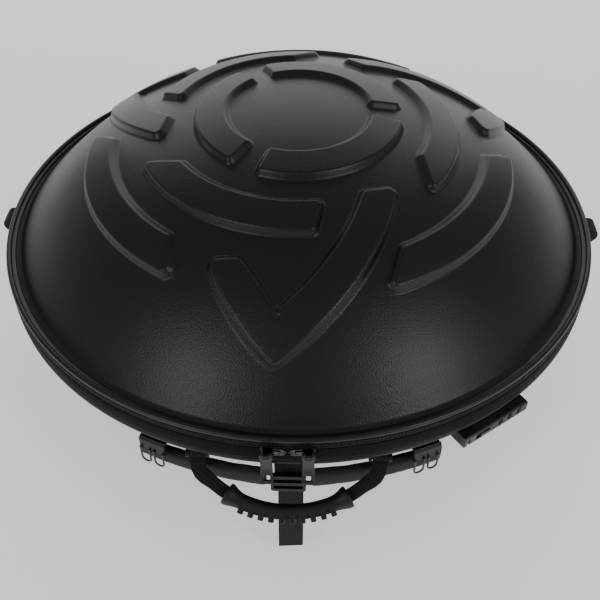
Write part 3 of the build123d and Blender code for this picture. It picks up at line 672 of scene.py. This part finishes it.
# Carrying handle: a moulded rubber grip with ten finger ribs, on webbing that turns about a steel
# pin in the riveted anchor at each end. It hangs 30 degrees below level at rest.
droop = math.radians(30.0)
handle_frame = Matrix.Translation((0.0, -0.285, 0.114)) @ Matrix((
    (1.0, 0.0, 0.0, 0.0),
    (0.0, -math.cos(droop), math.sin(droop), 0.0),
    (0.0, -math.sin(droop), -math.cos(droop), 0.0),
    (0.0, 0.0, 0.0, 1.0),
))
grip_radius = 0.0999
grip_r = 0.0065
grip_centre = Vector((0.0, -0.0534, 0.0))
grip_half = math.asin(0.051 / grip_radius)
rib_count = 10
rib_turn = 0.0087 / (grip_radius + grip_r)
rib_size = (0.0046, 0.0100, 0.0106)
collar_swell = 0.46
collar_flat = 0.0032
collar_taper = 0.0135

# Moulded rubber: matt, and a little shinier where a hand rubs it.
rubber, tree, shader, where = new_finish("moulded_black_rubber", "#0C0C0C", 0.52)
matt = node(tree, "TexNoise", {"Vector": where, "Scale": 1300.0, "Detail": 3.0})
node(tree, "Bump", {"Height": matt.outputs["Fac"], "Strength": 0.3, "Distance": 0.00015},
     into=shader.inputs["Normal"])
handled = node(tree, "TexNoise", {"Vector": where, "Scale": 40.0, "Detail": 3.0})
node(tree, "MapRange", {"Value": handled.outputs["Fac"], "To Min": 0.42, "To Max": 0.62},
     into=shader.inputs["Roughness"])

bm = bmesh.new()
section = bmesh.ops.create_circle(bm, segments=32, radius=grip_r)["verts"]
bmesh.ops.rotate(bm, cent=(0, 0, 0), matrix=Matrix.Rotation(math.pi / 2, 3, "Y"), verts=section)
bmesh.ops.translate(bm, vec=grip_centre + Vector((0, grip_radius, 0)), verts=section)
bmesh.ops.rotate(bm, cent=grip_centre, matrix=Matrix.Rotation(grip_half, 3, "Z"), verts=section)
bmesh.ops.spin(bm, geom=section + bm.edges[:], cent=grip_centre, axis=(0, 0, -1), steps=48,
               angle=2 * grip_half)
# Each end flares into a collar that covers the webbing's stitched fold.
for v in bm.verts:
    radial = v.co - grip_centre
    turn = math.atan2(radial.x, radial.y)
    line = grip_centre + Vector((math.sin(turn), math.cos(turn), 0)) * grip_radius
    away = (grip_half - abs(turn)) * grip_radius
    flare = min(1.0, max(0.0, 1.0 - (away - collar_flat) / collar_taper))
    v.co = line + (v.co - line) * (1.0 + collar_swell * flare ** 2.0)
bmesh.ops.holes_fill(bm, edges=[e for e in bm.edges if e.is_boundary])
bmesh.ops.recalc_face_normals(bm, faces=bm.faces)
soften(bm, 0.0008, sharper=60.0)
for i in range(rib_count):
    turn = (i - (rib_count - 1) / 2) * rib_turn
    rib = bmesh.new()
    bmesh.ops.create_cube(rib, size=1.0)
    bmesh.ops.scale(rib, vec=rib_size, verts=rib.verts)
    soften(rib, 0.0009)
    bmesh.ops.translate(rib, vec=grip_centre + Vector((0, grip_radius + 0.0049, 0)),
                        verts=rib.verts)
    bmesh.ops.rotate(rib, cent=grip_centre, matrix=Matrix.Rotation(-turn, 3, "Z"),
                     verts=rib.verts)
    join(bm, rib)
# A small round dimple sits between neighbouring ribs, drawn as a rimmed stud.
for i in range(rib_count - 1):
    turn = (i - (rib_count - 2) / 2) * rib_turn
    stud = bmesh.new()
    bmesh.ops.create_cone(stud, cap_ends=True, segments=14, radius1=0.0021, radius2=0.0017,
                          depth=0.0016)
    top = [f for f in stud.faces if len(f.verts) == 14 and f.normal.z > 0.5]
    bmesh.ops.inset_region(stud, faces=top, thickness=0.0005, depth=-0.0008)
    bmesh.ops.rotate(stud, cent=(0, 0, 0), matrix=Matrix.Rotation(math.radians(-130), 3, "X"),
                     verts=stud.verts)
    bmesh.ops.translate(stud, vec=grip_centre + Vector((0, grip_radius + 0.0050, -0.0040)),
                        verts=stud.verts)
    bmesh.ops.rotate(stud, cent=grip_centre, matrix=Matrix.Rotation(-turn, 3, "Z"),
                     verts=stud.verts)
    join(bm, stud)
bmesh.ops.transform(bm, matrix=handle_frame, verts=bm.verts)
grip = piece("handle_grip_moulding", bm, rubber, crease=40.0)
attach(grip, "handle")
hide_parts("handle_grip")

nylon_webbing, tree, shader, where = new_finish(
    "woven_black_nylon_webbing", "#0E0E0E", 0.66,
    Specular_IOR_Level=0.35, Sheen_Weight=0.08, Sheen_Roughness=0.35)
# The webbing's herringbone has ridges 1.6 mm apart, as coarse as it needs to be to show.
ridge = node(tree, "TexWave", {"Vector": where, "Scale": 98.0, "Distortion": 1.2,
                               "Detail Scale": 60.0}, bands_direction="DIAGONAL")
pick = node(tree, "TexWave", {"Vector": where, "Scale": 160.0}, bands_direction="X")
weave = node(tree, "Math", {0: ridge.outputs["Fac"], 1: pick.outputs["Fac"]}, operation="MULTIPLY")
node(tree, "Bump", {"Height": weave.outputs[0], "Strength": 0.75, "Distance": 0.0004},
     into=shader.inputs["Normal"])
# Painted shade: the weave's height also sets its colour, darker in the grooves and paler on the
# ridges.
shade = node(tree, "ValToRGB", {"Fac": weave.outputs[0]}, into=shader.inputs["Base Color"])
shade.color_ramp.elements[0].color = linear("#070707")
shade.color_ramp.elements[1].color = linear("#1C1C1D")


def strip(bm, stations):
    """Draws an edge out through a list of pairs of points, as webbing runs."""
    last = [Vector(p) for p in stations[0]]
    edge = bm.edges.new([bm.verts.new(p) for p in last])
    for pair in stations[1:]:
        made = bmesh.ops.extrude_edge_only(bm, edges=[edge])["geom"]
        new = [g for g in made if isinstance(g, bmesh.types.BMVert)]
        edge = next(g for g in made if isinstance(g, bmesh.types.BMEdge)
                    and g.verts[0] in new and g.verts[1] in new)
        for v in new:
            v.co = pair[0] if (v.co - last[0]).length < (v.co - last[1]).length else pair[1]
        last = [Vector(p) for p in pair]


def thicken(bm, thickness, width=0.0003):
    """Gives a sheet its thickness, half each side, and eases its edges."""
    bmesh.ops.recalc_face_normals(bm, faces=bm.faces)
    bm.normal_update()
    offsets = {v: v.normal.copy() for v in bm.verts}
    for v, normal in offsets.items():
        v.co += normal * thickness / 2
    bmesh.ops.solidify(bm, geom=bm.faces[:], thickness=thickness)
    bmesh.ops.recalc_face_normals(bm, faces=bm.faces)
    soften(bm, width, sharper=50.0)


pin_x = 0.077
eye_r = 0.0041
eye_bore_r = 0.0022
eye_length = 0.0128
for side, name in ((-1, "left_handle_webbing"), (1, "right_handle_webbing")):
    bm = bmesh.new()
    run = [Vector((side * x, y, 0)) for x, y in
           ((0.0770, 0.0026), (0.0768, 0.0070), (0.0757, 0.0120), (0.0730, 0.0165),
            (0.0690, 0.0198), (0.0630, 0.0240), (0.0560, 0.0290), (0.0490, 0.0335))]
    stations = []
    for i, p in enumerate(run):
        ahead = (run[min(i + 1, len(run) - 1)] - run[max(i - 1, 0)]).normalized()
        across = Vector((-ahead.y, ahead.x, 0.0)) * (0.0064 - 0.0008 * (i > 4))
        bulge = 0.0006 * math.sin(i * 1.3)
        stations.append((p + across + Vector((0, 0, bulge)), p - across - Vector((0, 0, bulge))))
    strip(bm, stations)
    thicken(bm, 0.0030, 0.0008)
    eye = bmesh.new()
    bmesh.ops.create_cone(eye, segments=24, radius1=eye_r, radius2=eye_r, depth=eye_length)
    bmesh.ops.create_cone(eye, segments=24, radius1=eye_bore_r, radius2=eye_bore_r,
                          depth=eye_length)
    for end in (-1, 1):
        rims = [e for e in eye.edges if min(v.co.z * end for v in e.verts) > 0.0063]
        bmesh.ops.bridge_loops(eye, edges=rims)
    bmesh.ops.rotate(eye, cent=(0, 0, 0), matrix=Matrix.Rotation(math.pi / 2, 3, "Y"),
                     verts=eye.verts)
    bmesh.ops.translate(eye, vec=(side * pin_x, 0, 0), verts=eye.verts)
    join(bm, eye)
    bmesh.ops.recalc_face_normals(bm, faces=bm.faces)
    bmesh.ops.transform(bm, matrix=handle_frame, verts=bm.verts)
    leg = piece(name, bm, nylon_webbing, crease=45.0)
    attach(leg, "handle")
    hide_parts(name.replace("webbing", "leg"))

# Fixings: moulded nylon anchors and plates, nickel-plated steel rivets and screws, satin hooks, and
# black moulded buckles. Their shapes are the maker's own solids; the finishes go on here.
# Spark-eroded mould finish: a dull sheen with faint swirls.
moulded_nylon, tree, shader, where = new_finish("moulded_glass_filled_nylon", "#0B0B0C", 0.42,
                                                Specular_IOR_Level=0.35)
spark = node(tree, "TexNoise", {"Vector": where, "Scale": 1600.0, "Detail": 2.0})
node(tree, "Bump", {"Height": spark.outputs["Fac"], "Strength": 0.25, "Distance": 0.00012},
     into=shader.inputs["Normal"])
swirl = node(tree, "TexNoise", {"Vector": where, "Scale": 55.0, "Detail": 3.0})
node(tree, "MapRange", {"Value": swirl.outputs["Fac"], "To Min": 0.36, "To Max": 0.5},
     into=shader.inputs["Roughness"])

# Bright nickel on drawn steel, dulled in patches.
plated_steel, tree, shader, where = new_finish("nickel_plated_steel", "#B4B4B2", 0.24, Metallic=1.0)
drawn = node(tree, "TexNoise", {"Vector": where, "Scale": 800.0, "Detail": 3.0})
node(tree, "MapRange", {"Value": drawn.outputs["Fac"], "To Min": 0.18, "To Max": 0.36},
     into=shader.inputs["Roughness"])

# Black plating on drawn wire: dark, with a narrow glint round the bend.
black_steel, tree, shader, where = new_finish("black_plated_steel_wire", "#1A1A1B", 0.3,
                                              Metallic=1.0)
drawn = node(tree, "TexNoise", {"Vector": where, "Scale": 650.0, "Detail": 3.0})
node(tree, "MapRange", {"Value": drawn.outputs["Fac"], "To Min": 0.2, "To Max": 0.42},
     into=shader.inputs["Roughness"])

dress(moulded_nylon, "left_handle_anchor", "right_handle_anchor", "left_strap_plate",
      "right_strap_plate", "left_strap_buckle", "right_strap_buckle", "left_rear_anchor",
      "right_rear_anchor", "centre_buckle")
dress(plated_steel, "handle_rivets", "handle_backing_plates", "foot_screws")
dress(satin_metal, "left_strap_hooks", "right_strap_hooks")
dress(black_steel, "left_d_ring", "right_d_ring")
dress(rubber, "feet")

# Shoulder straps: two padded straps stowed under the front rim. Each runs round below the lip
# from the middle, and turns down and back against the shell, where its webbing takes over.
# Ripstop polyester: a fine grid of threads, with painted light and shade of soft folds.
strap_cloth, tree, shader, where = new_finish(
    "black_ripstop_strap_cloth", "#101011", 0.7,
    Specular_IOR_Level=0.35, Sheen_Weight=0.1, Sheen_Roughness=0.45)
thread_a = node(tree, "TexWave", {"Vector": where, "Scale": 230.0}, bands_direction="DIAGONAL")
thread_b = node(tree, "TexWave", {"Vector": where, "Scale": 230.0}, bands_direction="Z")
cloth = node(tree, "Math", {0: thread_a.outputs["Fac"], 1: thread_b.outputs["Fac"]},
             operation="MULTIPLY")
node(tree, "Bump", {"Height": cloth.outputs[0], "Strength": 0.5, "Distance": 0.0003},
     into=shader.inputs["Normal"])
# Painted light and shade: paler and darker patches in the colour stand in for folds.
painted_fold_shading = node(tree, "TexNoise", {"Vector": where, "Scale": 45.0, "Detail": 4.0})
shade = node(tree, "ValToRGB", {"Fac": painted_fold_shading.outputs["Fac"]}, into=shader.inputs["Base Color"])
shade.color_ramp.elements[0].color = linear("#090909")
shade.color_ramp.elements[1].color = linear("#1A1A1B")
pad_turn = (3.6, 27.2)
pad_cap = 0.0016
pad_voxel = 0.003
pad_tail_r = 0.2725
pad_tail_run = 0.078
pad_tail_half = 0.0185
pad_tail_lift = 0.0067


def settled(name, bm, voxel, cap):
    """Sews a rough pad into one skin and lets its padding swell, each point by no more than cap."""
    mesh = bpy.data.meshes.new(name)
    bm.to_mesh(mesh)
    bm.free()
    pad = bpy.data.objects.new(name, mesh)
    scene.collection.objects.link(pad)
    skin = pad.modifiers.new("skin", "REMESH")
    skin.mode = "VOXEL"
    skin.voxel_size = voxel
    bpy.context.view_layer.update()
    looked = pad.evaluated_get(bpy.context.evaluated_depsgraph_get())
    even = bpy.data.meshes.new_from_object(looked)
    pad.modifiers.clear()
    pad.data = even
    before = np.array([v.co for v in even.vertices])
    stuffing = pad.modifiers.new("stuffing", "CLOTH")
    stuffing.settings.use_pressure = True
    stuffing.settings.uniform_pressure_force = 4.0
    stuffing.settings.effector_weights.gravity = 0.0
    stuffing.settings.quality = 5
    stuffing.point_cache.frame_end = 20
    for moment in range(1, 21):
        scene.frame_set(moment)
    looked = pad.evaluated_get(bpy.context.evaluated_depsgraph_get())
    after = np.array([v.co for v in looked.data.vertices])
    pad.modifiers.clear()
    scene.frame_set(1)
    move = after - before
    size = np.linalg.norm(move, axis=1)[:, None]
    move *= np.minimum(1.0, cap / np.maximum(size, 1e-9))
    even.vertices.foreach_set("co", (before + move).ravel())
    finer = pad.modifiers.new("finer", "SUBSURF")
    finer.levels = 1
    finer.render_levels = 1
    even.shade_smooth()
    return pad


for side, name, part in ((-1, "left_shoulder_pad", "left_shoulder_strap"),
                         (1, "right_shoulder_pad", "right_shoulder_strap")):
    start = pad_turn[0] if side > 0 else -pad_turn[1]
    run_section = [(0.2872, 0.0785), (0.2905, 0.0772), (0.2928, 0.0785), (0.2938, 0.0840),
                   (0.2938, 0.0960), (0.2928, 0.1012), (0.2905, 0.1026), (0.2872, 0.1012),
                   (0.2864, 0.0960), (0.2864, 0.0840)]
    bm = spun(run_section, start=start, sweep=pad_turn[1] - pad_turn[0], steps=30, closed=True)
    tail = bmesh.new()
    bmesh.ops.create_grid(tail, x_segments=8, y_segments=22, size=0.5)
    for v in tail.verts:
        out = pad_tail_r - (v.co.y + 0.5) * pad_tail_run
        width = pad_tail_half * (1.0 - 0.10 * (v.co.y + 0.5))
        x = v.co.x * 2 * width
        v.co = (x, -out, float(under_shell(out, pad_tail_lift)))
    bmesh.ops.rotate(tail, cent=(0, 0, 0), verts=tail.verts,
                     matrix=Matrix.Rotation(math.radians(side * 27.5), 3, "Z"))
    thicken(tail, 0.0076, 0.0015)
    join(bm, tail)
    pad = settled(name, bm, pad_voxel, pad_cap)
    pad.data.materials.append(strap_cloth)
    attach(pad, "base")
    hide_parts(part)

# Strap webbing: 25 mm woven nylon that follows the base from each padded strap to a plate sewn
# and riveted at the back. A ladder buckle sets its length.
strap_x = 0.090
strap_half_w = 0.0122
for side, name, part in ((-1, "left_base_webbing", "left_strap_webbing"),
                         (1, "right_base_webbing", "right_strap_webbing")):
    bm = bmesh.new()
    stations = []
    for i in range(70):
        y = -0.155 + i * 0.3735 / 69
        pair = []
        for x in (side * strap_x - strap_half_w, side * strap_x + strap_half_w):
            r = math.hypot(x, y)
            pair.append(Vector((x, y, float(under_shell(r, 0.0012)))))
        stations.append(pair)
    strip(bm, stations)
    thicken(bm, 0.0015, 0.0003)
    strap = piece(name, bm, nylon_webbing, crease=45.0)
    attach(strap, "base")
    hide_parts(part)

# Centre strap: webbing from under the lip at the front down into a ladder lock, and its loose
# end, cut at a slant, which leans out a little as it hangs.
bm = bmesh.new()
stations = []
for r, z in ((0.2875, 0.1167), (0.2925, 0.1168), (0.2952, 0.1166), (0.2963, 0.1156),
             (0.2964, 0.1130), (0.2964, 0.1060), (0.2964, 0.0965)):
    half = 0.0118 / r
    stations.append((Vector((-r * math.sin(half), -r * math.cos(half), z)),
                     Vector((r * math.sin(half), -r * math.cos(half), z))))
strip(bm, stations)
thicken(bm, 0.0015, 0.0003)
front_webbing = piece("front_webbing", bm, nylon_webbing, crease=45.0)
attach(front_webbing, "base")
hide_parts("centre_webbing")
bm = bmesh.new()
lean = math.radians(11.0)
tail_length = 0.084
tail_half_w = 0.0109
stations = []
for i in range(15):
    down = tail_length * i / 14
    y = -(0.2956 + 0.0008 + down * math.sin(lean) + 0.0012 * math.sin(3.2 * i / 14))
    z = 0.094 - down * math.cos(lean)
    slant = 0.0028 if i == 14 else 0.0
    stations.append((Vector((0.002 - tail_half_w, y, z)),
                     Vector((0.002 + tail_half_w, y, z + slant))))
strip(bm, stations)
thicken(bm, 0.0014, 0.0003)
loose_end = piece("front_webbing_loose_end", bm, nylon_webbing, crease=45.0)
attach(loose_end, "base")
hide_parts("centre_tail")

# Side rings: a bent steel D-ring hangs in a folded webbing tab at each side of the band. The tab
# is sewn over the base's tape with two rows of stitches, and its stiff fold bows out of the side.
fold = [(0.3004, 0.1345), (0.3026, 0.1372), (0.3070, 0.1388), (0.3120, 0.1384), (0.3156, 0.1358),
        (0.3168, 0.1318), (0.3158, 0.1276), (0.3128, 0.1238), (0.3090, 0.1210), (0.3055, 0.1195),
        (0.3035, 0.1189), (0.3013, 0.1198), (0.3006, 0.1222), (0.3004, 0.1262)]
patch = [(0.3003, 0.1266), (0.3026, 0.1266), (0.3033, 0.1276), (0.3033, 0.1344), (0.3026, 0.1350),
         (0.3003, 0.1350)]
for side, part in ((-1, "left_ring_tab"), (1, "right_ring_tab")):
    bm = spun(fold, start=side * 90.0 - 1.95, sweep=3.9, steps=8, closed=True)
    join(bm, spun(patch, start=side * 90.0 - 2.55, sweep=5.1, steps=8, closed=True))
    tab = piece(part + "_webbing", bm, nylon_webbing, crease=45.0)
    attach(tab, "base")
    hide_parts(part)
    for z in (0.1285, 0.1335):
        row = stitches(part + "_stitches_" + str(round(z * 10000)), 0.3034, z, thread,
                       start=side * 90.0 - 2.3, sweep=4.6)
        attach(row, "base")

# Combination lock: a black painted zinc case under the lip at the front right, with a lighter end
# cap, three knurled number wheels on an axle and a release button.
# Sprayed satin paint on die-cast zinc, with a faint orange peel.
lock_paint, tree, shader, where = new_finish("satin_black_painted_zinc", "#1D1D1E", 0.5)
peel = node(tree, "TexNoise", {"Vector": where, "Scale": 900.0, "Detail": 3.0})
node(tree, "Bump", {"Height": peel.outputs["Fac"], "Strength": 0.25, "Distance": 0.00015},
     into=shader.inputs["Normal"])
dress(lock_paint, "lock_body", "lock_back_plate")
dress(satin_metal, "lock_end_cap", "lock_button")
dress(plated_steel, "lock_axle")
dress(moulded_nylon, "lock_dial_1", "lock_dial_2", "lock_dial_3")

# Lining: foam sheet faced with black plush, cut in gores and quilted, and bonded inside each
# shell. A covered foam ring in the base carries the instrument below its widest line.
# Short brushed pile: matt, with a soft bloom where it turns away.
plush, tree, shader, where = new_finish("black_plush_lining", "#141416", 0.9,
                                        Sheen_Weight=0.6, Sheen_Roughness=0.5)
pile = node(tree, "TexNoise", {"Vector": where, "Scale": 500.0, "Detail": 5.0})
node(tree, "Bump", {"Height": pile.outputs["Fac"], "Strength": 0.7, "Distance": 0.0008},
     into=shader.inputs["Normal"])
brushed = node(tree, "TexNoise", {"Vector": where, "Scale": 22.0, "Detail": 3.0})
shade = node(tree, "ValToRGB", {"Fac": brushed.outputs["Fac"]}, into=shader.inputs["Base Color"])
shade.color_ramp.elements[0].color = linear("#0C0C0E")
shade.color_ramp.elements[1].color = linear("#222226")
quilt_ring = 0.062
quilt_gores = 12
quilt_puff = 0.0016
lining_gap = 0.0003
lining_t = 0.0092
lining_rim = 0.0012

for name, up, base_height, body, parts in (
    ("lid_lining", 1.0, upper_edge, "lid", ("upper_foam", "upper_liner")),
    ("base_lining", -1.0, lower_edge, "base", ("lower_foam", "lower_liner")),
):
    back_r, back_z = dome_line(-shell_wall - lining_gap, 60)
    face_r, face_z = dome_line(-shell_wall - 0.0096, 110)
    section = [(r, z) for r, z in zip(back_r, back_z) if z > lining_rim]
    section += [(r, z) for r, z in zip(face_r[::-1], face_z[::-1]) if z > lining_rim]
    near_face = 0.0015
    if up < 0:
        deepest = lower_edge - floor_z - shell_wall - lining_gap
        section = [(r, min(z, deepest - lining_t * (i > 59))) for i, (r, z) in enumerate(section)]
        near_face += lining_t
    bm = spun([(r, base_height + up * z) for r, z in section], steps=192)
    run = np.concatenate([[0], np.cumsum(np.hypot(np.diff(face_r), np.diff(face_z)))])
    for v in bm.verts:
        r = math.hypot(v.co.x, v.co.y)
        z = (v.co.z - base_height) * up
        if r < 0.02 or z < 0.004 or abs(z - np.interp(r, face_r, face_z)) > near_face:
            continue
        along = float(np.interp(r, face_r, run))
        ring_gap = abs(along / quilt_ring - round(along / quilt_ring)) * quilt_ring
        turn = math.atan2(v.co.y, v.co.x) * quilt_gores / (2 * math.pi)
        gore_gap = abs(turn - round(turn)) * 2 * math.pi / quilt_gores * r
        gap = min(ring_gap, gore_gap)
        v.co.z -= up * quilt_puff * (1.0 - math.exp(-gap / 0.006))
    lining = piece(name, bm, plush, crease=60.0)
    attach(lining, body)
    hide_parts(*parts)

cradle_section = [(0.1898, 0.0600), (0.1900, 0.0790), (0.1912, 0.0822), (0.1950, 0.0838),
                  (0.2050, 0.0840), (0.2150, 0.0838), (0.2230, 0.0832), (0.2262, 0.0815),
                  (0.2240, 0.0770), (0.2160, 0.0700), (0.2080, 0.0650), (0.1985, 0.0590),
                  (0.1925, 0.0575)]
cradle = piece("instrument_cradle", spun(cradle_section, steps=120, closed=True), plush,
               crease=70.0)
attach(cradle, "base")
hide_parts("cradle_ring")
